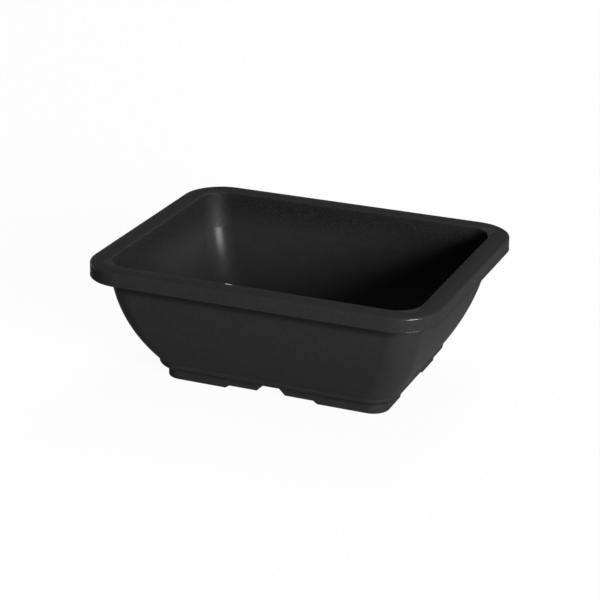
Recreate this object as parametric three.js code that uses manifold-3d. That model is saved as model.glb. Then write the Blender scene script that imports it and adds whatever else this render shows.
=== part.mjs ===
// A low rectangular plant pot: one plastic moulding with a turned-down rim, a curved wall, a rounded plinth
// and a notched foot ring, and the mesh screens and wire clips that cover its two drain holes.
// Millimetres, +Z up, +X along the pot. The origin is on the ground under the middle of the pot.
import * as THREE from 'three';
import { ParametricGeometry } from 'three/addons/geometries/ParametricGeometry.js';
import { mergeVertices } from 'three/addons/utils/BufferGeometryUtils.js';
import Module from 'manifold-3d';

// Overall size, over the rim
const potLength = 250;
const potWidth = 200;
const potHeight = 90;

// Rim: a flat flange with a skirt turned down round its edge, open underneath
const rimSkirtHeight = 9.8;
const rimThickness = 2.2;
const rimCornerRadius = 29.5;
const rimEdgeRound = 1.5;
const mouthEdgeRound = 1.2;

// Wall: its section is one arc that starts upright at the rim's top and curves in towards the plinth
const wallThickness = 2;
const wallTopInset = 12.5;
const wallArcRadius = 133;
const wallCornerRadius = 19;

// Plinth: a short upright band under the wall, rounded in to the foot ring
const plinthHeight = 6;
const plinthBandHeight = 1.2;
const plinthRound = 6.6;

// Foot ring and floor
const footHeight = 7.5;
const footThickness = 2.2;
const footCornerRadius = 12;
const floorThickness = 2.2;
const floorFilletRadius = 12;

// Cuts in the foot ring: a shallow step in each side, and a deeper notch in the middle of each long side
const longStepWidth = 68.6;
const longStepRise = 2.2;
const longStepRun = 3.3;
const shortStepWidth = 45.6;
const shortStepRise = 2.6;
const shortStepRun = 1;
const notchWidth = 11;
const notchRun = 4.9;
const notchRoof = 0.5;

// Holes in the floor
const drainDiameter = 24;
const drainDistance = 90;
const tieHoleDiameter = 5;
const tieHoleDistanceX = 30;
const tieHoleDistanceY = 60;

// Mesh screens
const strandWidth = 1.4;
const strandDepth = 1;
const strandOverlap = 0.4;
const screenCells = 7;
const meshPitch = 5.5;

// Wire clips
const wireDiameter = 1.6;
const clipLoopRadius = 5;
const clipBendRadius = 2;
const clipFootLength = 8;

// Clearance between pieces that touch
const seatGap = 0.3;

// Fineness of the curves
const cornerSteps = 8;
const wallSteps = 9;
const roundSteps = 4;
const holeSteps = 24;
const wireSides = 8;
const wireSteps = 72;
const loopSteps = 12;
const bendSteps = 4;

// Levels that follow from the sizes
const skirtBottom = potHeight - rimSkirtHeight;
const flangeBottom = potHeight - rimThickness;
const plinthTop = footHeight + plinthHeight;
const plinthRoundTop = plinthTop - plinthBandHeight;
const floorTop = footHeight + floorThickness;
const screenBottom = floorTop + seatGap;
const screenTop = screenBottom + 2 * strandDepth - strandOverlap;

const quarterTurn = Math.PI / 2;
const wasm = await Module();
wasm.setup();

// Solids and cuts

function toSolid(geometry) {
  const bare = geometry.clone();
  bare.deleteAttribute('normal');
  bare.deleteAttribute('uv');
  const merged = mergeVertices(bare);
  return new wasm.Manifold(new wasm.Mesh({
    numProp: 3,
    vertProperties: new Float32Array(merged.attributes.position.array),
    triVerts: new Uint32Array(merged.index.array),
  }));
}

function toGeometry(solid) {
  const mesh = solid.getMesh();
  const geometry = new THREE.BufferGeometry();
  geometry.setAttribute('position', new THREE.BufferAttribute(mesh.vertProperties, 3));
  geometry.setIndex(new THREE.BufferAttribute(mesh.triVerts, 1));
  geometry.computeVertexNormals();
  return geometry;
}

// An arc of a circle or ellipse runs clockwise where its angle falls
function arcPoints(centreX, centreY, radiusX, radiusY, startAngle, endAngle, steps) {
  const clockwise = endAngle < startAngle;
  const arc = new THREE.EllipseCurve(centreX, centreY, radiusX, radiusY, startAngle, endAngle, clockwise);
  return arc.getPoints(steps);
}

function roundHole(x, y, diameter) {
  const hole = new THREE.Path();
  hole.setFromPoints(arcPoints(x, y, diameter / 2, diameter / 2, 0, 2 * Math.PI, holeSteps).slice(1));
  return hole;
}

// Sections of the pot: a section point has an inset from the rim's outer face, a height and a corner radius

function wallInset(height, depthInWall) {
  const drop = potHeight - height;
  return wallTopInset + wallArcRadius - Math.sqrt((wallArcRadius - depthInWall) ** 2 - drop ** 2);
}

function heightsBetween(from, to) {
  return Array.from({ length: wallSteps + 1 }, (unused, step) => from + (to - from) * step / wallSteps);
}

function rimOutsidePoints() {
  const edge = arcPoints(
    rimEdgeRound, potHeight - rimEdgeRound, rimEdgeRound, rimEdgeRound, Math.PI, quarterTurn, roundSteps);
  const points = [new THREE.Vector2(0, skirtBottom), ...edge];
  return points.map(({ x, y }) => ({ inset: x, z: y, corner: rimCornerRadius - x }));
}

function mouthPoints() {
  const mouthInset = wallInset(potHeight, wallThickness);
  const mouthCorner = wallCornerRadius - wallThickness;
  const edge = arcPoints(
    mouthInset - mouthEdgeRound, potHeight - mouthEdgeRound, mouthEdgeRound, mouthEdgeRound,
    quarterTurn, 0, roundSteps);
  return edge.slice(0, -1).map(({ x, y }) => ({ inset: x, z: y, corner: mouthCorner + mouthInset - x }));
}

// The fillet circle touches the floor and the wall's inner arc from inside
function floorFillet() {
  const z = floorTop + floorFilletRadius;
  const reach = wallArcRadius - wallThickness - floorFilletRadius;
  const drop = potHeight - z;
  const inset = wallTopInset + wallArcRadius - Math.sqrt(reach ** 2 - drop ** 2);
  const slope = Math.asin(drop / reach);
  return { inset, z, slope, wallTouch: z - floorFilletRadius * Math.sin(slope) };
}

function insidePoints() {
  const fillet = floorFillet();
  const corner = wallCornerRadius - wallThickness;
  const wall = heightsBetween(potHeight - mouthEdgeRound, fillet.wallTouch).map((z) => (
    { inset: wallInset(z, wallThickness), z, corner }));
  const lowest = wall.at(-1);
  const curve = arcPoints(
    fillet.inset, fillet.z, floorFilletRadius, floorFilletRadius,
    Math.PI + fillet.slope, 3 * quarterTurn, roundSteps);
  const bottom = curve.slice(1).map(({ x, y }) => (
    { inset: x, z: y, corner: corner - (x - lowest.inset) }));
  const edge = { ...bottom.at(-1), z: footHeight };
  return [...wall, ...bottom, edge];
}

const footInset = wallInset(plinthTop, 0) + plinthRound;

function footPoints() {
  const inner = { inset: footInset + footThickness, corner: footCornerRadius - footThickness };
  return [
    { ...inner, z: footHeight },
    { ...inner, z: 0 },
    { inset: footInset, z: 0, corner: footCornerRadius },
  ];
}

function plinthPoints() {
  const curve = arcPoints(
    footInset, plinthRoundTop, plinthRound, plinthRoundTop - footHeight,
    3 * quarterTurn, Math.PI, roundSteps);
  return curve.map(({ x, y }) => {
    const share = (footInset - x) / plinthRound;
    const corner = footCornerRadius + (wallCornerRadius - footCornerRadius) * share;
    return { inset: x, z: y, corner };
  });
}

function wallOutsidePoints() {
  return heightsBetween(plinthTop, flangeBottom).map((z) => (
    { inset: wallInset(z, 0), z, corner: wallCornerRadius }));
}

function rimUndersidePoints() {
  const corner = rimCornerRadius - rimThickness;
  return [
    { inset: rimThickness, z: flangeBottom, corner },
    { inset: rimThickness, z: skirtBottom, corner },
  ];
}

// A closed section carried round the pot, with a rounded rectangle at each of its points
function sweptRing(section) {
  const cornerSigns = [[1, 1], [-1, 1], [-1, -1], [1, -1]];
  const cornerPoints = cornerSteps + 1;
  const ringCount = cornerSigns.length * cornerPoints;
  const placePoint = (u, v, target) => {
    const { inset, z, corner } = section[Math.round(v * section.length) % section.length];
    const place = Math.round(u * ringCount) % ringCount;
    const quarter = Math.floor(place / cornerPoints);
    const angle = (quarter + (place % cornerPoints) / cornerSteps) * quarterTurn;
    const [signX, signY] = cornerSigns[quarter];
    target.set(
      signX * (potLength / 2 - inset - corner) + corner * Math.cos(angle),
      signY * (potWidth / 2 - inset - corner) + corner * Math.sin(angle),
      z);
  };
  return new ParametricGeometry(placePoint, ringCount, section.length);
}

// Pot body

function drainPlaces() {
  return { left: -drainDistance / 2, right: drainDistance / 2 };
}

// The floor plate reaches half-way into the foot ring's thickness, under the plinth
function floorPlate() {
  const inset = footInset + footThickness / 2;
  const corner = footCornerRadius - footThickness / 2;
  const reachX = potLength / 2 - inset - corner;
  const reachY = potWidth / 2 - inset - corner;
  const outline = new THREE.Shape();
  outline.absarc(reachX, reachY, corner, 0, quarterTurn);
  outline.absarc(-reachX, reachY, corner, quarterTurn, 2 * quarterTurn);
  outline.absarc(-reachX, -reachY, corner, 2 * quarterTurn, 3 * quarterTurn);
  outline.absarc(reachX, -reachY, corner, 3 * quarterTurn, 4 * quarterTurn);
  for (const x of Object.values(drainPlaces())) {
    outline.holes.push(roundHole(x, 0, drainDiameter));
  }
  for (const x of [-tieHoleDistanceX / 2, tieHoleDistanceX / 2]) {
    for (const y of [-tieHoleDistanceY / 2, tieHoleDistanceY / 2]) {
      outline.holes.push(roundHole(x, y, tieHoleDiameter));
    }
  }
  const plate = new THREE.ExtrudeGeometry(
    outline, { depth: floorThickness, bevelEnabled: false, curveSegments: cornerSteps });
  return plate.translate(0, 0, footHeight);
}

// A cut profile is given by its right half, from the ground up, and runs right through the foot ring
function footCut(rightHalf, length) {
  const leftHalf = rightHalf.map(([x, z]) => [-x, z]).reverse();
  const below = -footHeight;
  const points = [[rightHalf[0][0], below], ...rightHalf, ...leftHalf, [-rightHalf[0][0], below]];
  const outline = new THREE.Shape(points.map(([x, z]) => new THREE.Vector2(x, z)));
  const cut = new THREE.ExtrudeGeometry(outline, { depth: length, bevelEnabled: false });
  return cut.translate(0, 0, -length / 2).rotateX(quarterTurn);
}

function longSideCut() {
  const step = longStepWidth / 2;
  const notch = notchWidth / 2;
  return footCut([
    [step, 0],
    [step - longStepRun, longStepRise],
    [notch + notchRun, longStepRise],
    [notch, footHeight - notchRoof],
  ], potWidth);
}

function shortSideCut() {
  const step = shortStepWidth / 2;
  return footCut([[step, 0], [step - shortStepRun, shortStepRise]], potLength).rotateZ(quarterTurn);
}

function potBodyGeometry() {
  const section = [
    ...rimOutsidePoints(),
    ...mouthPoints(),
    ...insidePoints(),
    ...footPoints(),
    ...plinthPoints(),
    ...wallOutsidePoints(),
    ...rimUndersidePoints(),
  ];
  const body = toSolid(sweptRing(section))
    .add(toSolid(floorPlate()))
    .subtract(toSolid(longSideCut()))
    .subtract(toSolid(shortSideCut()));
  return toGeometry(body);
}

// Drain screens

// Strands along Y lie across strands along X and are melted into them by the overlap
function screenGeometry() {
  const side = screenCells * meshPitch + strandWidth;
  const lowerStrand = new THREE.BoxGeometry(side, strandWidth, strandDepth);
  const upperStrand = new THREE.BoxGeometry(strandWidth, side, strandDepth);
  const lowerLevel = screenBottom + strandDepth / 2;
  const upperLevel = screenTop - strandDepth / 2;
  const strands = [];
  for (let line = 0; line <= screenCells; line += 1) {
    const place = (line - screenCells / 2) * meshPitch;
    strands.push(toSolid(lowerStrand.clone().translate(0, place, lowerLevel)));
    strands.push(toSolid(upperStrand.clone().translate(place, 0, upperLevel)));
  }
  return toGeometry(strands.reduce((net, strand) => net.add(strand)));
}

// Screen clips: a bar with a flat loop at each end, and a leg from each loop down through the drain hole

// A leg goes down through the mesh cell nearest to the edge of the drain hole
function clipLegPlace() {
  const room = drainDiameter / 2 - wireDiameter / 2 - seatGap;
  return Math.floor(room / meshPitch) * meshPitch;
}

function clipHalfPath() {
  const wireRadius = wireDiameter / 2;
  const lowLevel = screenTop + seatGap + wireRadius;
  const highLevel = lowLevel + wireDiameter + seatGap;
  const footLevel = footHeight - seatGap - wireRadius;
  const legX = clipLegPlace();
  const loopX = legX - clipBendRadius;
  const points = [];
  for (let step = 0; step <= loopSteps; step += 1) {
    const turn = step / loopSteps;
    const angle = turn * 2 * Math.PI - quarterTurn;
    points.push(new THREE.Vector3(
      loopX + clipLoopRadius * Math.cos(angle),
      clipLoopRadius + clipLoopRadius * Math.sin(angle),
      highLevel + (lowLevel - highLevel) * turn));
  }
  for (let step = 1; step <= bendSteps; step += 1) {
    const angle = quarterTurn * (1 - step / bendSteps);
    points.push(new THREE.Vector3(
      loopX + clipBendRadius * Math.cos(angle),
      0,
      lowLevel - clipBendRadius + clipBendRadius * Math.sin(angle)));
  }
  for (let step = 0; step <= bendSteps; step += 1) {
    const angle = Math.PI + quarterTurn * step / bendSteps;
    points.push(new THREE.Vector3(
      legX + clipBendRadius + clipBendRadius * Math.cos(angle),
      0,
      footLevel + clipBendRadius + clipBendRadius * Math.sin(angle)));
  }
  points.push(new THREE.Vector3(drainDiameter / 2 + clipFootLength, 0, footLevel));
  return points;
}

function clipGeometry() {
  const half = clipHalfPath();
  const otherHalf = half.map((point) => new THREE.Vector3(-point.x, -point.y, point.z)).reverse();
  const path = new THREE.CatmullRomCurve3([...otherHalf, ...half], false, 'centripetal');
  const section = new THREE.Shape();
  section.setFromPoints(
    arcPoints(0, 0, wireDiameter / 2, wireDiameter / 2, 0, 2 * Math.PI, wireSides).slice(1));
  return new THREE.ExtrudeGeometry(section, { steps: wireSteps, extrudePath: path, bevelEnabled: false });
}

// Materials
const potPlastic = new THREE.MeshStandardMaterial({ color: 0x2a2a2b, roughness: 0.55, metalness: 0 });
const screenPlastic = new THREE.MeshStandardMaterial({ color: 0x1e1f20, roughness: 0.6, metalness: 0 });
const clipAluminium = new THREE.MeshStandardMaterial({ color: 0x9a9a9c, roughness: 0.35, metalness: 1 });

function namedMesh(name, geometry, material) {
  const mesh = new THREE.Mesh(geometry, material);
  mesh.name = name;
  return mesh;
}

const pot = new THREE.Group();
pot.add(namedMesh('pot_body', potBodyGeometry(), potPlastic));
for (const [side, x] of Object.entries(drainPlaces())) {
  const drain = new THREE.Group();
  drain.position.x = x;
  drain.add(namedMesh(`drain_screen_${side}`, screenGeometry(), screenPlastic));
  drain.add(namedMesh(`screen_clip_${side}`, clipGeometry(), clipAluminium));
  pot.add(drain);
}

export default pot;
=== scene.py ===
# Low rectangular plant pot in black plastic, with mesh screens wired over its drain holes.
import math

import bmesh
import bpy
from mathutils import Matrix, Vector


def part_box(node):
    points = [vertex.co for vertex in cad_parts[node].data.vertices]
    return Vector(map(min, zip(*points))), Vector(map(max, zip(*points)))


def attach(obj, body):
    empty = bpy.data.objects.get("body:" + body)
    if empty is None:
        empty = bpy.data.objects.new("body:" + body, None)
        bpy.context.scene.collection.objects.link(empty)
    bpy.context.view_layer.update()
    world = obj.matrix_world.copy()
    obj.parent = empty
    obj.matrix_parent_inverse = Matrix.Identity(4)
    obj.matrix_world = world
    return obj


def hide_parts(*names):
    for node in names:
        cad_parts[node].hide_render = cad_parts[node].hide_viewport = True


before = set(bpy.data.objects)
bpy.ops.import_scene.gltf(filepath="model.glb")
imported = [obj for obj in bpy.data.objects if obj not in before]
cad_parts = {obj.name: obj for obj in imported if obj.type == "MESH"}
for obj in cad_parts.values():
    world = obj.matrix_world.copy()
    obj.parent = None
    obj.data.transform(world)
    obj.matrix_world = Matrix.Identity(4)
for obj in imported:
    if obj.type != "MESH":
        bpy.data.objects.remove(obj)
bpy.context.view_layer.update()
mm = 0.001
quarterTurn = math.pi / 2
scene = bpy.context.scene
print("frame loaded,", len(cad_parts), "nodes")


# Small helpers for modelling by operators

def clearSelection():
    if bpy.context.object and bpy.context.object.mode != 'OBJECT':
        bpy.ops.object.mode_set(mode='OBJECT')
    bpy.ops.object.select_all(action='DESELECT')


def makeActive(piece):
    clearSelection()
    piece.select_set(True)
    bpy.context.view_layer.objects.active = piece


def named(name):
    piece = bpy.context.object
    piece.name = name
    piece.data.name = name
    return piece


def selectEdges(piece, wanted):  # edit mode, wanted looks at one edge
    bpy.ops.mesh.select_mode(type='EDGE')
    bpy.ops.mesh.select_all(action='DESELECT')
    mesh = bmesh.from_edit_mesh(piece.data)
    for edge in mesh.edges:
        if wanted(edge):
            edge.select_set(True)
    bmesh.update_edit_mesh(piece.data)


def selectFaces(piece, wanted):  # edit mode, wanted looks at one face
    bpy.ops.mesh.select_mode(type='FACE')
    bpy.ops.mesh.select_all(action='DESELECT')
    mesh = bmesh.from_edit_mesh(piece.data)
    for face in mesh.faces:
        if wanted(face):
            face.select_set(True)
    bmesh.update_edit_mesh(piece.data)


def applyModifier(piece, kind, **values):
    makeActive(piece)
    modifier = piece.modifiers.new(kind.title(), kind)
    for name, value in values.items():
        setattr(modifier, name, value)
    bpy.ops.object.modifier_apply(modifier=modifier.name)


def applyPlace(piece):  # the place goes into the mesh, the object stays at the origin
    makeActive(piece)
    bpy.ops.object.transform_apply(location=True, rotation=True, scale=True)


def smoothShade(piece, angle):
    makeActive(piece)
    bpy.ops.object.shade_smooth_by_angle(angle=math.radians(angle))
    applyModifier(piece, 'WEIGHTED_NORMAL', keep_sharp=True, weight=100)


def arcPoints(centre, radii, startAngle, endAngle, steps):
    points = []
    for step in range(steps + 1):
        angle = startAngle + (endAngle - startAngle) * step / steps
        points.append((centre[0] + radii[0] * math.cos(angle), centre[1] + radii[1] * math.sin(angle)))
    return points


# Pot body: rounded rectangles at each point of the section, bridged one to the next

potLow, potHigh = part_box("pot_body")

pot = dict(
    length=potHigh.x - potLow.x,
    width=potHigh.y - potLow.y,
    height=potHigh.z,
    cornerSegments=20,
    # rim
    skirtHeight=10.1 * mm,
    rimThickness=2.2 * mm,
    rimCorner=29.5 * mm,
    rimEdgeRound=1.5 * mm,
    mouthEdgeRound=1.2 * mm,
    rimCrown=0.45 * mm,      # the rim's top is a low crown, highest along its middle
    rimCrownRise=0.2 * mm,   # of that, above the level of the solid
    crownRings=6,
    skirtEdgeRound=0.25 * mm,
    skirtBead=0.45 * mm,     # radius of the bead along the skirt's bottom
    beadRise=0.25 * mm,      # how far the bead stands out
    underRimFillet=0.9 * mm,
    # wall
    wallThickness=2 * mm,
    wallTopInset=12.5 * mm,
    wallArc=133 * mm,
    wallCorner=19 * mm,
    wallRings=26,
    # plinth, foot and floor
    plinthHeight=6 * mm,
    plinthBand=1.2 * mm,
    plinthRound=6.6 * mm,
    footHeight=7.5 * mm,
    footThickness=2.2 * mm,
    footCorner=12 * mm,
    footEdgeRound=0.4 * mm,
    floorThickness=2.2 * mm,
    floorFillet=12 * mm,
    roundRings=6,
    smallRings=3,
    flatLean=0.02 * mm,  # two rings at one level would bridge with a twist
    smoothAngle=30,
)
plinthTop = pot["footHeight"] + pot["plinthHeight"]
floorTop = pot["footHeight"] + pot["floorThickness"]
skirtBottom = pot["height"] - pot["skirtHeight"]
flangeBottom = pot["height"] - pot["rimThickness"]
rimLow = pot["height"] + pot["rimCrownRise"] - pot["rimCrown"]  # level of the rim's top at its edges


def wallInset(height, depth):  # the wall's section is an arc about a point level with the rim
    drop = pot["height"] - height
    return pot["wallTopInset"] + pot["wallArc"] - math.sqrt((pot["wallArc"] - depth) ** 2 - drop ** 2)


footInset = wallInset(plinthTop, 0) + pot["plinthRound"]


def spread(start, end, count):
    return [start + (end - start) * step / count for step in range(count + 1)]


def footSection():  # from under the floor, round the foot ring's edge and up its outside
    inner = footInset + pot["footThickness"]
    innerCorner = pot["footCorner"] - pot["footThickness"]
    edge = pot["footEdgeRound"]
    section = [(inner, pot["footHeight"], innerCorner)]
    innerCentre = (inner - edge, edge + pot["flatLean"])
    for x, z in arcPoints(innerCentre, (edge, edge), 0, -quarterTurn, pot["smallRings"]):
        section.append((x, z, innerCorner + inner - x))
    outerCentre = (footInset + edge, edge)
    for x, z in arcPoints(outerCentre, (edge, edge), 3 * quarterTurn, math.pi, pot["smallRings"]):
        section.append((x, z, pot["footCorner"] + footInset - x))
    return section


def plinthSection():
    bandBottom = plinthTop - pot["plinthBand"]
    radii = (pot["plinthRound"], bandBottom - pot["footHeight"])
    section = []
    for x, z in arcPoints((footInset, bandBottom), radii, 3 * quarterTurn, math.pi, pot["roundRings"]):
        share = (footInset - x) / pot["plinthRound"]
        section.append((x, z, pot["footCorner"] + (pot["wallCorner"] - pot["footCorner"]) * share))
    return section


def wallSection():
    fillet = pot["underRimFillet"]
    heights = spread(plinthTop, flangeBottom - fillet, pot["wallRings"])
    section = [(wallInset(z, 0), z, pot["wallCorner"]) for z in heights]
    top = section[-1][0]
    centre = (top - fillet, flangeBottom - fillet)
    for x, z in arcPoints(centre, (fillet, fillet), 0, quarterTurn, pot["smallRings"])[1:]:
        section.append((x, z, pot["wallCorner"] + top - x))
    return section


def skirtSection():  # under the rim, down inside its skirt, round the edge and over its bead
    fillet = pot["underRimFillet"]
    edge = pot["skirtEdgeRound"]
    thickness = pot["rimThickness"]
    lean = pot["flatLean"]
    steps = pot["smallRings"]
    top = (thickness + fillet, flangeBottom - fillet - lean)
    innerEdge = (thickness - edge, skirtBottom + edge + lean)
    bead = pot["skirtBead"]
    beadCentre = (bead - pot["beadRise"], skirtBottom + bead)
    beadTop = math.acos(-beadCentre[0] / bead)
    section = arcPoints(top, (fillet, fillet), quarterTurn, math.pi, steps)
    section += arcPoints(innerEdge, (edge, edge), 0, -quarterTurn, steps)
    section += arcPoints(beadCentre, (bead, bead), 3 * quarterTurn, beadTop, 2 * steps)
    return [(x, z, pot["rimCorner"] - x) for x, z in section]


def rimSection():  # the outer edge's round, then up and down the low crown of the rim's top
    edge = pot["rimEdgeRound"]
    section = arcPoints((edge, rimLow - edge), (edge, edge), math.pi, quarterTurn, pot["roundRings"])
    mouth = wallInset(pot["height"], pot["wallThickness"]) - pot["mouthEdgeRound"]
    for x in spread(edge, mouth, pot["crownRings"])[1:-1]:
        share = (x - edge) / (mouth - edge)
        section.append((x, rimLow + pot["rimCrown"] * math.sin(math.pi * share)))
    return [(x, z, pot["rimCorner"] - x) for x, z in section]


def insideSection():  # over the mouth's edge, down the wall and round to the floor
    edge = pot["mouthEdgeRound"]
    mouth = wallInset(pot["height"], pot["wallThickness"])
    corner = pot["wallCorner"] - pot["wallThickness"]
    section = []
    edgeCentre = (mouth - edge, rimLow - edge - pot["flatLean"])
    for x, z in arcPoints(edgeCentre, (edge, edge), quarterTurn, 0, pot["roundRings"])[:-1]:
        section.append((x, z, corner + mouth - x))
    fillet = pot["floorFillet"]
    reach = pot["wallArc"] - pot["wallThickness"] - fillet
    drop = pot["height"] - floorTop - fillet
    slope = math.asin(drop / reach)
    centre = (pot["wallTopInset"] + pot["wallArc"] - math.sqrt(reach ** 2 - drop ** 2), floorTop + fillet)
    touch = centre[1] - fillet * math.sin(slope)
    for z in spread(edgeCentre[1], touch, pot["wallRings"]):
        section.append((wallInset(z, pot["wallThickness"]), z, corner))
    lowest = section[-1][0]
    rings = 2 * pot["roundRings"]
    for x, z in arcPoints(centre, (fillet, fillet), math.pi + slope, 3 * quarterTurn, rings)[1:]:
        section.append((x, z, corner + lowest - x))
    return section


def addRing(piece, number, inset, height, corner):
    bpy.ops.mesh.select_all(action='DESELECT')
    bpy.ops.mesh.primitive_plane_add(size=1, location=(0, 0, height))
    size = (pot["length"] - 2 * inset, pot["width"] - 2 * inset, 1)
    bpy.ops.transform.resize(value=size, center_override=(0, 0, height))
    bpy.ops.mesh.bevel(offset=corner, segments=pot["cornerSegments"], affect='VERTICES')
    mesh = bmesh.from_edit_mesh(piece.data)
    ringLayer = mesh.verts.layers.int["ring"]
    for vert in mesh.verts:
        if vert.select:
            vert[ringLayer] = number
    bmesh.update_edit_mesh(piece.data)
    bpy.ops.mesh.delete(type='ONLY_FACE')


def selectRings(piece, numbers):
    mesh = bmesh.from_edit_mesh(piece.data)
    ringLayer = mesh.verts.layers.int["ring"]

    def inRings(edge):
        first, second = (vert[ringLayer] for vert in edge.verts)
        return first == second and first in numbers

    selectEdges(piece, inRings)


def makePotShell(section):
    clearSelection()
    bpy.ops.mesh.primitive_plane_add(size=1)
    shell = named("potBody")
    bpy.ops.object.mode_set(mode='EDIT')
    bpy.ops.mesh.delete(type='VERT')
    bmesh.from_edit_mesh(shell.data).verts.layers.int.new("ring")
    for number, (inset, height, corner) in enumerate(section):
        bpy.ops.mesh.select_mode(type='VERT')
        addRing(shell, number, inset, height, corner)
        if number:
            selectRings(shell, (number - 1, number))
            bpy.ops.mesh.bridge_edge_loops()
    for last in (0, len(section) - 1):  # the floor, from below and from above
        selectRings(shell, (last,))
        bpy.ops.mesh.edge_face_add()
    bpy.ops.mesh.select_all(action='SELECT')
    bpy.ops.mesh.normals_make_consistent(inside=False)
    bpy.ops.object.mode_set(mode='OBJECT')
    shell.data.attributes.remove(shell.data.attributes["ring"])
    return shell


outsideSection = footSection() + plinthSection() + wallSection() + skirtSection() + rimSection()
potBody = makePotShell(outsideSection + insideSection())
print("pot shell made,", len(potBody.data.polygons), "faces")

cuts = dict(
    drainDiameter=24 * mm,
    drainSpacing=90 * mm,
    tieHoleDiameter=5 * mm,
    tieHoleSpacing=(30 * mm, 60 * mm),
    longStep=(68.6 * mm, 2.2 * mm, 3.3 * mm),   # width at the ground, rise, run of the slope
    shortStep=(45.6 * mm, 2.6 * mm, 1 * mm),
    notch=(25.3 * mm, 7 * mm, 7.15 * mm),
    holeVertices=48,
    holeDepth=8.8 * mm,
)


def cutAway(piece, cutter):
    applyModifier(piece, 'BOOLEAN', object=cutter, operation='DIFFERENCE', solver='EXACT')
    bpy.data.objects.remove(cutter)


def cutHole(piece, x, y, diameter):
    clearSelection()
    bpy.ops.mesh.primitive_cylinder_add(
        vertices=cuts["holeVertices"], radius=diameter / 2, depth=cuts["holeDepth"],
        location=(x, y, floorTop))
    cutAway(piece, bpy.context.object)


def cutFoot(piece, widthRiseRun, alongX):  # a wedge that narrows upwards, right through the foot ring
    width, rise, run = widthRiseRun
    clearSelection()
    bpy.ops.mesh.primitive_cube_add(size=1)
    cutter = bpy.context.object
    bpy.ops.object.mode_set(mode='EDIT')
    bpy.ops.mesh.select_all(action='SELECT')
    through = pot["length"]
    bpy.ops.transform.resize(value=(width, through, 2 * rise))
    selectFaces(cutter, lambda face: face.normal.z > 0.5)
    bpy.ops.transform.resize(value=((width - 2 * run) / width, 1, 1))
    selectFaces(cutter, lambda face: face.normal.z < -0.5)
    bpy.ops.transform.resize(value=((width + 2 * run) / width, 1, 1))
    bpy.ops.object.mode_set(mode='OBJECT')
    if alongX:
        cutter.rotation_euler.z = quarterTurn
        applyPlace(cutter)
    cutAway(piece, cutter)


for side in (-1, 1):
    cutHole(potBody, side * cuts["drainSpacing"] / 2, 0, cuts["drainDiameter"])
    for end in (-1, 1):
        spacingX, spacingY = cuts["tieHoleSpacing"]
        cutHole(potBody, side * spacingX / 2, end * spacingY / 2, cuts["tieHoleDiameter"])
cutFoot(potBody, cuts["longStep"], False)
cutFoot(potBody, cuts["notch"], False)
cutFoot(potBody, cuts["shortStep"], True)
smoothShade(potBody, pot["smoothAngle"])
print("pot cut,", len(potBody.data.polygons), "faces")


def standsFor(piece, node):
    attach(piece, "root")
    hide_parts(node)


standsFor(potBody, "pot_body")


# Drain screens: a net of plastic strands, those along Y melted across those along X

screenLow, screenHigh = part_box("drain_screen_left")

screen = dict(
    cells=7,
    pitch=5.5 * mm,
    strandWidth=1.4 * mm,
    strandDepth=1 * mm,
    edgeRound=0.3 * mm,
    edgeSegments=3,
    smoothAngle=40,
)


def makeStrands(alongX, level):  # one strand, bevelled and repeated across the net
    length = screen["cells"] * screen["pitch"] + screen["strandWidth"]
    reach = -screen["cells"] * screen["pitch"] / 2
    middle = (screenLow.x + screenHigh.x) / 2
    if alongX:
        place = (middle, reach, level)
        size = (length, screen["strandWidth"], screen["strandDepth"])
        step = (0, screen["pitch"], 0)
    else:
        place = (middle + reach, 0, level)
        size = (screen["strandWidth"], length, screen["strandDepth"])
        step = (screen["pitch"], 0, 0)
    clearSelection()
    bpy.ops.mesh.primitive_cube_add(size=1, location=place)
    strands = bpy.context.object
    bpy.ops.object.mode_set(mode='EDIT')
    bpy.ops.mesh.select_all(action='SELECT')
    bpy.ops.transform.resize(value=size, center_override=place)
    bpy.ops.mesh.bevel(offset=screen["edgeRound"], segments=screen["edgeSegments"], affect='EDGES')
    bpy.ops.object.mode_set(mode='OBJECT')
    applyPlace(strands)
    applyModifier(strands, 'ARRAY', count=screen["cells"] + 1, use_relative_offset=False,
                  use_constant_offset=True, constant_offset_displace=step)
    return strands


def makeScreen():
    halfDepth = screen["strandDepth"] / 2
    net = makeStrands(True, screenLow.z + halfDepth)
    upper = makeStrands(False, screenHigh.z - halfDepth)
    applyModifier(net, 'BOOLEAN', object=upper, operation='UNION', solver='EXACT')
    bpy.data.objects.remove(upper)
    smoothShade(net, screen["smoothAngle"])
    return net


def copyTo(piece, name, shift):  # a copy with its own mesh, its place in that mesh
    makeActive(piece)
    bpy.ops.object.duplicate(linked=False)
    copied = named(name)
    bpy.ops.transform.translate(value=(shift, 0, 0))
    applyPlace(copied)
    return copied


screenLeft = makeScreen()
screenLeft.name = "drainScreenLeft"
screenRight = copyTo(screenLeft, "drainScreenRight", cuts["drainSpacing"])
standsFor(screenLeft, "drain_screen_left")
standsFor(screenRight, "drain_screen_right")
print("screens made,", len(screenLeft.data.polygons), "faces each")


# Screen clips: bent wire with a flat loop at each end and a leg from each loop down through the hole

clip = dict(
    wireDiameter=1.6 * mm,
    loopRadius=5 * mm,
    bendRadius=2 * mm,
    footReach=8 * mm,
    gap=0.3 * mm,
    loopSteps=32,
    bendSteps=8,
    wireSides=5,
    endRound=0.25 * mm,
    endSegments=2,
    mergeDistance=0.0025 * mm,
    smoothAngle=40,
)


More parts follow.
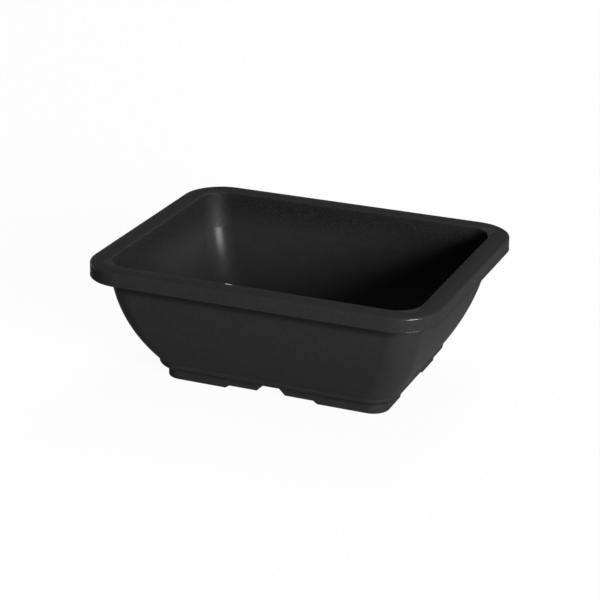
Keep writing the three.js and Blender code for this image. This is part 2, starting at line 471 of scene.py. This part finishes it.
def clipHalfRoute():  # from the bar round the loop, down the leg and out under the floor
    wire = clip["wireDiameter"]
    bend = clip["bendRadius"]
    loop = clip["loopRadius"]
    low = screenHigh.z + clip["gap"] + wire / 2
    high = low + wire + clip["gap"]
    foot = pot["footHeight"] - clip["gap"] - wire / 2
    room = cuts["drainDiameter"] / 2 - wire / 2 - clip["gap"]
    legX = math.floor(room / screen["pitch"]) * screen["pitch"]
    loopX = legX - bend
    route = []
    for step in range(clip["loopSteps"] + 1):
        turn = step / clip["loopSteps"]
        angle = turn * 2 * math.pi - quarterTurn
        x, y = loopX + loop * math.cos(angle), loop + loop * math.sin(angle)
        route.append((x, y, high + (low - high) * turn))
    steps = clip["bendSteps"]
    for x, z in arcPoints((loopX, low - bend), (bend, bend), quarterTurn, 0, steps)[1:]:
        route.append((x, 0, z))
    for x, z in arcPoints((legX + bend, foot + bend), (bend, bend), math.pi, 3 * quarterTurn, steps):
        route.append((x, 0, z))
    route.append((cuts["drainDiameter"] / 2 + clip["footReach"], 0, foot))
    return route


def makeClip(middle):  # one vertex drawn out along the route, then given the wire's thickness
    half = clipHalfRoute()
    route = [Vector((middle - x, -y, z)) for x, y, z in reversed(half)]
    route += [Vector((middle + x, y, z)) for x, y, z in half]
    clearSelection()
    bpy.ops.mesh.primitive_plane_add(size=clip["wireDiameter"])
    wire = bpy.context.object
    bpy.ops.object.mode_set(mode='EDIT')
    bpy.ops.mesh.select_mode(type='VERT')
    bpy.ops.mesh.select_all(action='SELECT')
    bpy.ops.mesh.merge(type='CENTER')
    bpy.ops.transform.translate(value=route[0])
    for before, after in zip(route, route[1:]):
        bpy.ops.mesh.extrude_region_move(TRANSFORM_OT_translate={"value": after - before})
    bpy.ops.object.mode_set(mode='OBJECT')
    bpy.ops.object.convert(target='CURVE')
    wire.data.bevel_depth = clip["wireDiameter"] / 2
    wire.data.bevel_resolution = clip["wireSides"]
    wire.data.use_fill_caps = True
    bpy.ops.object.convert(target='MESH')
    bpy.ops.object.mode_set(mode='EDIT')
    bpy.ops.mesh.select_all(action='SELECT')
    bpy.ops.mesh.remove_doubles(threshold=clip["mergeDistance"])
    bpy.ops.mesh.normals_make_consistent(inside=False)
    selectFaces(wire, lambda face: len(face.verts) > 4)  # the cut ends
    bpy.ops.mesh.bevel(offset=clip["endRound"], segments=clip["endSegments"], affect='EDGES')
    bpy.ops.object.mode_set(mode='OBJECT')
    smoothShade(wire, clip["smoothAngle"])
    return wire


clipLeft = makeClip(-cuts["drainSpacing"] / 2)
clipLeft.name = "screenClipLeft"
clipRight = copyTo(clipLeft, "screenClipRight", cuts["drainSpacing"])
standsFor(clipLeft, "screen_clip_left")
standsFor(clipRight, "screen_clip_right")
print("clips made,", len(clipLeft.data.polygons), "faces each")


# Shader helpers and the effects that several materials share

def addNode(tree, kind, settings=None, inputs=None):  # an input is a value or another node's socket
    node = tree.nodes.new(kind)
    for name, value in (settings or {}).items():
        setattr(node, name, value)
    for name, value in (inputs or {}).items():
        if isinstance(value, bpy.types.NodeSocket):
            tree.links.new(value, node.inputs[name])
        else:
            node.inputs[name].default_value = value
    return node


def mathNode(tree, operation, first, second):
    return addNode(tree, 'ShaderNodeMath', {"operation": operation}, {0: first, 1: second}).outputs[0]


def averageOf(tree, first, second):
    return mathNode(tree, 'MULTIPLY', mathNode(tree, 'ADD', first, second), 0.5)


def vectorNode(tree, operation, inputs):
    return addNode(tree, 'ShaderNodeVectorMath', {"operation": operation}, inputs).outputs


def rangeNode(tree, value, low, high, toLow, toHigh):
    limits = {"Value": value, "From Min": low, "From Max": high, "To Min": toLow, "To Max": toHigh}
    return addNode(tree, 'ShaderNodeMapRange', {"interpolation_type": 'SMOOTHSTEP'}, limits).outputs[0]


def mixColours(tree, factor, first, second):
    inputs = {0: factor, 6: first, 7: second}
    return addNode(tree, 'ShaderNodeMix', {"data_type": 'RGBA'}, inputs).outputs[2]


def mixValues(tree, factor, first, second):
    return addNode(tree, 'ShaderNodeMix', inputs={0: factor, 2: first, 3: second}).outputs[0]


def splitVector(tree, vector):
    return addNode(tree, 'ShaderNodeSeparateXYZ', inputs={0: vector}).outputs


def surfaceNormal(tree):  # its X, Y and Z, before any bump
    return splitVector(tree, addNode(tree, 'ShaderNodeNewGeometry').outputs["Normal"])


def between(tree, value, low, rising, falling, high):  # 1 between the inner limits, 0 beyond the outer
    up = rangeNode(tree, value, low, rising, 0, 1)
    return mathNode(tree, 'MULTIPLY', up, rangeNode(tree, value, falling, high, 1, 0))


def startGroup(name, inputs, outputs):
    group = bpy.data.node_groups.new(name, 'ShaderNodeTree')
    for socket, kind in inputs.items():
        group.interface.new_socket(socket, in_out='INPUT', socket_type=kind)
    for socket in outputs:
        group.interface.new_socket(socket, in_out='OUTPUT', socket_type='NodeSocketFloat')
    return group, addNode(group, 'NodeGroupInput').outputs, addNode(group, 'NodeGroupOutput').inputs


mould = dict(
    gritFineness=2.7,          # how much finer the grit is than the pebbles
    gritShare=0.35,            # height of the grit against the pebbles
    contrast=(0.3, 0.7),       # of the noise, what becomes 0 and 1
)


def makeGrainGroup():  # spark-eroded mould texture: soft pebbles with finer grit on them
    group, given, result = startGroup(
        "mouldGrain", {"Vector": 'NodeSocketVector', "Size": 'NodeSocketFloat'}, ("Height", "Grit"))
    scale = mathNode(group, 'DIVIDE', 1, given["Size"])
    pebbles = addNode(group, 'ShaderNodeTexNoise', inputs={"Detail": 1, "Roughness": 0.5})
    grit = addNode(group, 'ShaderNodeTexNoise', inputs={"Detail": 2, "Roughness": 0.6})
    for noise, finer in ((pebbles, 1), (grit, mould["gritFineness"])):
        group.links.new(given["Vector"], noise.inputs["Vector"])
        group.links.new(mathNode(group, 'MULTIPLY', scale, finer), noise.inputs["Scale"])
    share = mathNode(group, 'MULTIPLY', grit.outputs["Fac"], mould["gritShare"])
    group.links.new(mathNode(group, 'ADD', pebbles.outputs["Fac"], share), result["Height"])
    group.links.new(rangeNode(group, grit.outputs["Fac"], *mould["contrast"], 0, 1), result["Grit"])
    return group


def makeCloudGroup():  # slow drift of tone and gloss over a moulding
    group, given, result = startGroup(
        "mouldClouds", {"Vector": 'NodeSocketVector', "Size": 'NodeSocketFloat'}, ("Cloud",))
    clouds = addNode(group, 'ShaderNodeTexNoise', inputs={"Detail": 4, "Roughness": 0.55})
    group.links.new(given["Vector"], clouds.inputs["Vector"])
    group.links.new(mathNode(group, 'DIVIDE', 1, given["Size"]), clouds.inputs["Scale"])
    group.links.new(rangeNode(group, clouds.outputs["Fac"], *mould["contrast"], 0, 1), result["Cloud"])
    return group


grainGroup = makeGrainGroup()
cloudGroup = makeCloudGroup()


def useGroup(tree, group, inputs):
    return addNode(tree, 'ShaderNodeGroup', {"node_tree": group}, inputs).outputs


def useGrain(tree, coords, size):
    return useGroup(tree, grainGroup, {"Vector": coords, "Size": size})


def useClouds(tree, coords, size):
    return useGroup(tree, cloudGroup, {"Vector": coords, "Size": size})["Cloud"]


def startMaterial(name):
    material = bpy.data.materials.new(name)
    material.use_nodes = True
    tree = material.node_tree
    coords = addNode(tree, 'ShaderNodeTexCoord').outputs["Object"]
    return material, tree, tree.nodes["Principled BSDF"], coords


def linkBump(tree, shader, height, depth):
    bump = addNode(tree, 'ShaderNodeBump', inputs={"Strength": 1, "Distance": depth})
    tree.links.new(height, bump.inputs["Height"])
    tree.links.new(bump.outputs[0], shader.inputs["Normal"])


# Pot plastic, outside and inside

plastic = dict(
    darkColour=(0.0180, 0.0180, 0.0184, 1),
    paleColour=(0.0290, 0.0290, 0.0295, 1),
    specular=0.025,
    cloudSize=4 * mm,
    cloudShare=0.25,                # of the drift of tone, the rest comes from the grain
    grain=0.8 * mm,
    grainDepth=0.06 * mm,
    roughness=(0.62, 0.74),
    # edges along the long sides that hands rub to a shine
    rubbedSlope=(0.22, 0.4, 0.88, 0.97),   # of the normal, its Z on the rounds of the edges
    rubbedSide=(0.5, 0.68),                # its Y, from the corners to the long sides
    rubbedGloss=0.22,
    # painted shade: darker under the rim between the corners and under the plinth, standing in for the
    # shadows there
    underRimShadeTone=0.6,
    underPlinthShadeTone=0.46,
    underRimShadeBand=(67.5 * mm, 73.5 * mm, 80 * mm, 80.4 * mm),
    underPlinthShadeBand=(7 * mm, 8.8 * mm, 9.9 * mm, 10.8 * mm),
    cornerSlant=(0.15, 0.42),       # of the normal, X times Y, from a side to the middle of a corner
    cornerShade=0.35,               # share of the darkening that is left there
    # a small painted highlight on the front of the mouth's edge: a pale spot standing in for the lit inner
    # corner that the edge mirrors
    paintedHighlightColour=(0.6, 0.6, 0.6, 1),
    paintedHighlightPlace=(-17.5 * mm, -86.6 * mm, 90 * mm),
    paintedHighlightReach=(3.4 * mm, 2 * mm, 2 * mm),
    paintedHighlightCore=0.45,                 # share of the reach that is fully pale
)

lining = dict(
    darkColour=(0.0210, 0.0210, 0.0215, 1),
    paleColour=(0.0254, 0.0254, 0.0259, 1),
    bandDark=(0.0076, 0.0076, 0.0078, 1),
    bandPale=(0.0200, 0.0200, 0.0205, 1),
    specular=0.148,
    cloudSize=9 * mm,
    roughness=(0.295, 0.345),
    bandRoughness=(0.47, 0.62),
    grain=0.6 * mm,
    grainDepth=0.005 * mm,
    bandGrain=2.2 * mm,
    bandDepth=0.14 * mm,
    bandEdge=(63 * mm, 65.5 * mm),   # coarse grain above, smooth below
    bandTone=(56 * mm, 82 * mm),
    mouthEdge=(88.2 * mm, 89 * mm),
    mouthRoughness=0.6,
    levelNormal=0.9,                 # a face with more Z than this in its normal is floor
)


def rubbedEdges(tree):
    normal = surfaceNormal(tree)
    slope = between(tree, normal["Z"], *plastic["rubbedSlope"])
    facing = mathNode(tree, 'ABSOLUTE', normal["Y"], 0)
    return mathNode(tree, 'MULTIPLY', slope, rangeNode(tree, facing, *plastic["rubbedSide"], 0, 1))


# the painted shade under the rim is lighter round the corners
def shadeLessAtCorners(tree):  # 1 on the sides, less round the corners
    normal = surfaceNormal(tree)
    slant = mathNode(tree, 'ABSOLUTE', mathNode(tree, 'MULTIPLY', normal["X"], normal["Y"]), 0)
    return rangeNode(tree, slant, *plastic["cornerSlant"], 1, plastic["cornerShade"])


# painted shade: darker bands under the rim and under the plinth, in place of their shadows
def paintedShadeUnderRimAndPlinth(tree, height):
    underRimShadeBand = mathNode(tree, 'MULTIPLY', between(tree, height, *plastic["underRimShadeBand"]), shadeLessAtCorners(tree))
    underPlinthShadeBand = between(tree, height, *plastic["underPlinthShadeBand"])
    rimShade = rangeNode(tree, underRimShadeBand, 0, 1, 1, plastic["underRimShadeTone"])
    plinthShade = rangeNode(tree, underPlinthShadeBand, 0, 1, 1, plastic["underPlinthShadeTone"])
    return mathNode(tree, 'MULTIPLY', rimShade, plinthShade)


def paintedHighlightMask(tree, coords):  # 1 in the painted highlight's core, 0 at its reach
    away = vectorNode(tree, 'SUBTRACT', {0: coords, 1: plastic["paintedHighlightPlace"]})["Vector"]
    share = vectorNode(tree, 'DIVIDE', {0: away, 1: plastic["paintedHighlightReach"]})["Vector"]
    distance = vectorNode(tree, 'LENGTH', {0: share})["Value"]
    return rangeNode(tree, distance, plastic["paintedHighlightCore"], 1, 1, 0)


def makeOutsidePlastic():
    material, tree, shader, coords = startMaterial("potPlasticOutside")
    grain = useGrain(tree, coords, plastic["grain"])
    cloud = useClouds(tree, coords, plastic["cloudSize"])
    tone = mixValues(tree, plastic["cloudShare"], grain["Grit"], cloud)
    colour = mixColours(tree, tone, plastic["darkColour"], plastic["paleColour"])
    # painted shade under the rim and plinth, then the painted highlight on the mouth's edge
    shade = paintedShadeUnderRimAndPlinth(tree, splitVector(tree, coords)["Z"])
    shaded = vectorNode(tree, 'SCALE', {0: colour, "Scale": shade})["Vector"]
    withPaintedHighlight = mixColours(tree, paintedHighlightMask(tree, coords), shaded, plastic["paintedHighlightColour"])
    tree.links.new(withPaintedHighlight, shader.inputs["Base Color"])
    tree.links.new(rangeNode(tree, tone, 0, 1, *plastic["roughness"]), shader.inputs["Roughness"])
    shader.inputs["Specular IOR Level"].default_value = plastic["specular"]
    tree.links.new(rubbedEdges(tree), shader.inputs["Coat Weight"])
    shader.inputs["Coat Roughness"].default_value = plastic["rubbedGloss"]
    linkBump(tree, shader, grain["Height"], plastic["grainDepth"])
    return material


def makeInsidePlastic():  # coarse grain in a band under the mouth, smooth below it
    material, tree, shader, coords = startMaterial("potPlasticInside")
    height = splitVector(tree, coords)["Z"]
    band = rangeNode(tree, height, *lining["bandEdge"], 0, 1)
    bandTone = rangeNode(tree, height, *lining["bandTone"], 0, 1)
    mouth = rangeNode(tree, height, *lining["mouthEdge"], 0, 1)
    coarse = useGrain(tree, coords, lining["bandGrain"])
    fine = useGrain(tree, coords, lining["grain"])
    cloud = useClouds(tree, coords, lining["cloudSize"])
    smoothTone = averageOf(tree, cloud, fine["Grit"])
    smoothColour = mixColours(tree, smoothTone, lining["darkColour"], lining["paleColour"])
    bandColour = mixColours(tree, coarse["Grit"], lining["bandDark"], lining["bandPale"])
    colour = mixColours(tree, bandTone, smoothColour, bandColour)
    smoothGloss = rangeNode(tree, cloud, 0, 1, *lining["roughness"])
    bandGloss = rangeNode(tree, coarse["Grit"], 0, 1, *lining["bandRoughness"])
    gloss = mixValues(tree, mouth, mixValues(tree, band, smoothGloss, bandGloss), lining["mouthRoughness"])
    smoothRelief = mathNode(tree, 'MULTIPLY', fine["Height"], lining["grainDepth"] / lining["bandDepth"])
    relief = mixValues(tree, band, smoothRelief, coarse["Height"])
    tree.links.new(colour, shader.inputs["Base Color"])
    tree.links.new(gloss, shader.inputs["Roughness"])
    shader.inputs["Specular IOR Level"].default_value = lining["specular"]
    linkBump(tree, shader, relief, lining["bandDepth"])
    return material


def isInside(face):  # the faces that look into the pot, from the mouth's edge to the floor
    middle = face.calc_center_median()
    low = floorTop - pot["floorThickness"] / 2
    half = Vector((pot["length"] / 2, pot["width"] / 2))
    nearest = min(half.x - abs(middle.x), half.y - abs(middle.y))
    inner = wallInset(max(middle.z, plinthTop), pot["wallThickness"] / 2)
    facing = middle.x * face.normal.x + middle.y * face.normal.y < 0
    level = face.normal.z > lining["levelNormal"]
    return middle.z > low and nearest > inner and (facing or level)


potBody.data.materials.append(makeOutsidePlastic())
potBody.data.materials.append(makeInsidePlastic())
makeActive(potBody)
bpy.ops.object.mode_set(mode='EDIT')
selectFaces(potBody, isInside)
potBody.active_material_index = 1
bpy.ops.object.material_slot_assign()
bpy.ops.object.mode_set(mode='OBJECT')
print("pot plastic assigned,", sum(face.material_index for face in potBody.data.polygons), "faces inside")


# Screen plastic and clip wire

screenFinish = dict(
    darkColour=(0.010, 0.011, 0.011, 1),
    paleColour=(0.019, 0.020, 0.020, 1),
    specular=0.3,
    roughness=(0.42, 0.6),
    grain=0.4 * mm,
    depth=0.02 * mm,
    cloudSize=6 * mm,
)

wireFinish = dict(
    darkColour=(0.30, 0.30, 0.31, 1),
    paleColour=(0.52, 0.52, 0.53, 1),
    roughness=(0.28, 0.45),
    grain=0.25 * mm,
    depth=0.008 * mm,
    cloudSize=3 * mm,
)


def makeGrained(name, finish):
    material, tree, shader, coords = startMaterial(name)
    grain = useGrain(tree, coords, finish["grain"])
    cloud = useClouds(tree, coords, finish["cloudSize"])
    tone = averageOf(tree, cloud, grain["Grit"])
    colour = mixColours(tree, tone, finish["darkColour"], finish["paleColour"])
    tree.links.new(colour, shader.inputs["Base Color"])
    tree.links.new(rangeNode(tree, tone, 0, 1, *finish["roughness"]), shader.inputs["Roughness"])
    linkBump(tree, shader, grain["Height"], finish["depth"])
    return material, shader


netPlastic, netShader = makeGrained("screenPlastic", screenFinish)
netShader.inputs["Specular IOR Level"].default_value = screenFinish["specular"]
clipMetal, clipShader = makeGrained("clipWire", wireFinish)
clipShader.inputs["Metallic"].default_value = 1
for piece in (screenLeft, screenRight):
    piece.data.materials.append(netPlastic)
for piece in (clipLeft, clipRight):
    piece.data.materials.append(clipMetal)
print("screen plastic and clip wire assigned")


# Floor, backdrop and lamps

studio = dict(
    floorSize=8,
    floorColour=(0.42, 0.42, 0.42, 1),   # the colour that lights the pot from below
    seenColour=(1, 1, 1, 1),             # the colour that the camera sees
    floorWhite=0.95,                     # share of plain white in what it sees, the rest takes the shadow
    hiddenFloor=((-64 * mm, 64 * mm), (-32 * mm, 44 * mm)),   # under the pot, along X and along Y
    hiddenFade=6 * mm,
    skyStrength=0.02,                    # light from the room
    backdropTop=(0.08, 0.14),            # sine of the angle at which the mirrored backdrop ends
)

lamps = dict(
    keyLamp=dict(azimuth=54.5, elevation=16.8, distance=2.8, width=1.3, height=0.8, watts=120),
    topLamp=dict(azimuth=0, elevation=89, distance=2.8, width=1, height=1, watts=10),
    rearLamp=dict(azimuth=180, elevation=50, distance=2.8, width=1, height=1, watts=27),
    fillLamp=dict(azimuth=232, elevation=3, distance=2.8, width=1.3, height=0.25, watts=27),
)


def seenDirectly(tree):  # 1 for what the camera sees, straight, mirrored or through glass
    path = addNode(tree, 'ShaderNodeLightPath').outputs
    seen = mathNode(tree, 'MAXIMUM', path["Is Camera Ray"], path["Is Glossy Ray"])
    return mathNode(tree, 'MAXIMUM', seen, path["Is Transmission Ray"])


def hiddenByPot(tree):  # 1 on the floor under the pot, where its holes look down, 0 beside it
    place = splitVector(tree, addNode(tree, 'ShaderNodeTexCoord').outputs["Object"])
    fade = studio["hiddenFade"]
    inside = []
    for axis, (low, high) in zip("XY", studio["hiddenFloor"]):
        inside.append(between(tree, place[axis], low - fade, low, high, high + fade))
    return mathNode(tree, 'MULTIPLY', *inside)


def makeFloor():
    clearSelection()
    bpy.ops.mesh.primitive_plane_add(size=studio["floorSize"])
    floor = named("studioFloor")
    material = bpy.data.materials.new("studioFloor")
    material.use_nodes = True
    tree = material.node_tree
    tree.nodes.remove(tree.nodes["Principled BSDF"])
    seen = seenDirectly(tree)
    colour = mixColours(tree, seen, studio["floorColour"], studio["seenColour"])
    matt = addNode(tree, 'ShaderNodeBsdfDiffuse', inputs={"Color": colour})
    white = addNode(tree, 'ShaderNodeEmission', inputs={"Strength": 1})
    mixed = addNode(tree, 'ShaderNodeMixShader')
    share = rangeNode(tree, hiddenByPot(tree), 0, 1, studio["floorWhite"], 0)
    tree.links.new(mathNode(tree, 'MULTIPLY', seen, share), mixed.inputs[0])
    tree.links.new(matt.outputs[0], mixed.inputs[1])
    tree.links.new(white.outputs[0], mixed.inputs[2])
    tree.links.new(mixed.outputs[0], tree.nodes["Material Output"].inputs["Surface"])
    floor.data.materials.append(material)


def makeSky():
    world = bpy.data.worlds.new("studioSky")
    world.use_nodes = True
    scene.world = world
    tree = world.node_tree
    sky = tree.nodes["Background"]
    sky.inputs["Color"].default_value = (1, 1, 1, 1)
    upward = splitVector(tree, addNode(tree, 'ShaderNodeTexCoord').outputs["Generated"])["Z"]
    backdrop = rangeNode(tree, upward, *studio["backdropTop"], 1, 0)
    path = addNode(tree, 'ShaderNodeLightPath').outputs
    mirrored = mathNode(tree, 'MAXIMUM', path["Is Glossy Ray"], path["Is Transmission Ray"])
    white = mathNode(tree, 'MAXIMUM', path["Is Camera Ray"], mathNode(tree, 'MULTIPLY', mirrored, backdrop))
    tree.links.new(rangeNode(tree, white, 0, 1, studio["skyStrength"], 1), sky.inputs["Strength"])


def makeLamp(name, azimuth, elevation, distance, width, height, watts):
    turn, rise = math.radians(azimuth), math.radians(elevation)
    towards = Vector((math.sin(turn) * math.cos(rise), -math.cos(turn) * math.cos(rise), math.sin(rise)))
    clearSelection()
    bpy.ops.object.light_add(type='AREA', location=towards * distance)
    lamp = named(name)
    lamp.rotation_euler = towards.to_track_quat('Z', 'Y').to_euler()
    lamp.data.shape = 'RECTANGLE'
    lamp.data.size = width
    lamp.data.size_y = height
    lamp.data.energy = watts


makeFloor()
makeSky()
for name, settings in lamps.items():
    makeLamp(name, **settings)
print("studio made,", len(lamps), "lamps")


# Camera at the photograph's viewing angle

view = dict(azimuth=22.36, elevation=21.614, roll=0.587, distance=1352 * mm, lens=116.11, sensor=36,
            aimHeight=45 * mm, panRight=-2.25 * mm, panUp=4.6 * mm)


def makeCamera():
    azimuth, elevation, roll = (math.radians(view[name]) for name in ("azimuth", "elevation", "roll"))
    back = Vector((math.sin(azimuth) * math.cos(elevation), -math.cos(azimuth) * math.cos(elevation),
                   math.sin(elevation)))
    level = Vector((math.cos(azimuth), math.sin(azimuth), 0))
    upright = back.cross(level)
    right = math.cos(roll) * level + math.sin(roll) * upright
    up = math.cos(roll) * upright - math.sin(roll) * level
    eye = (Vector((0, 0, view["aimHeight"])) + back * view["distance"]
           + right * view["panRight"] + up * view["panUp"])
    clearSelection()
    bpy.ops.object.camera_add()
    camera = bpy.context.object
    camera.matrix_world = Matrix.Translation(eye) @ Matrix((right, up, back)).transposed().to_4x4()
    camera.data.lens = view["lens"]
    camera.data.sensor_width = view["sensor"]
    scene.camera = camera


makeCamera()
scene.view_settings.view_transform = 'Standard'
print("camera placed")
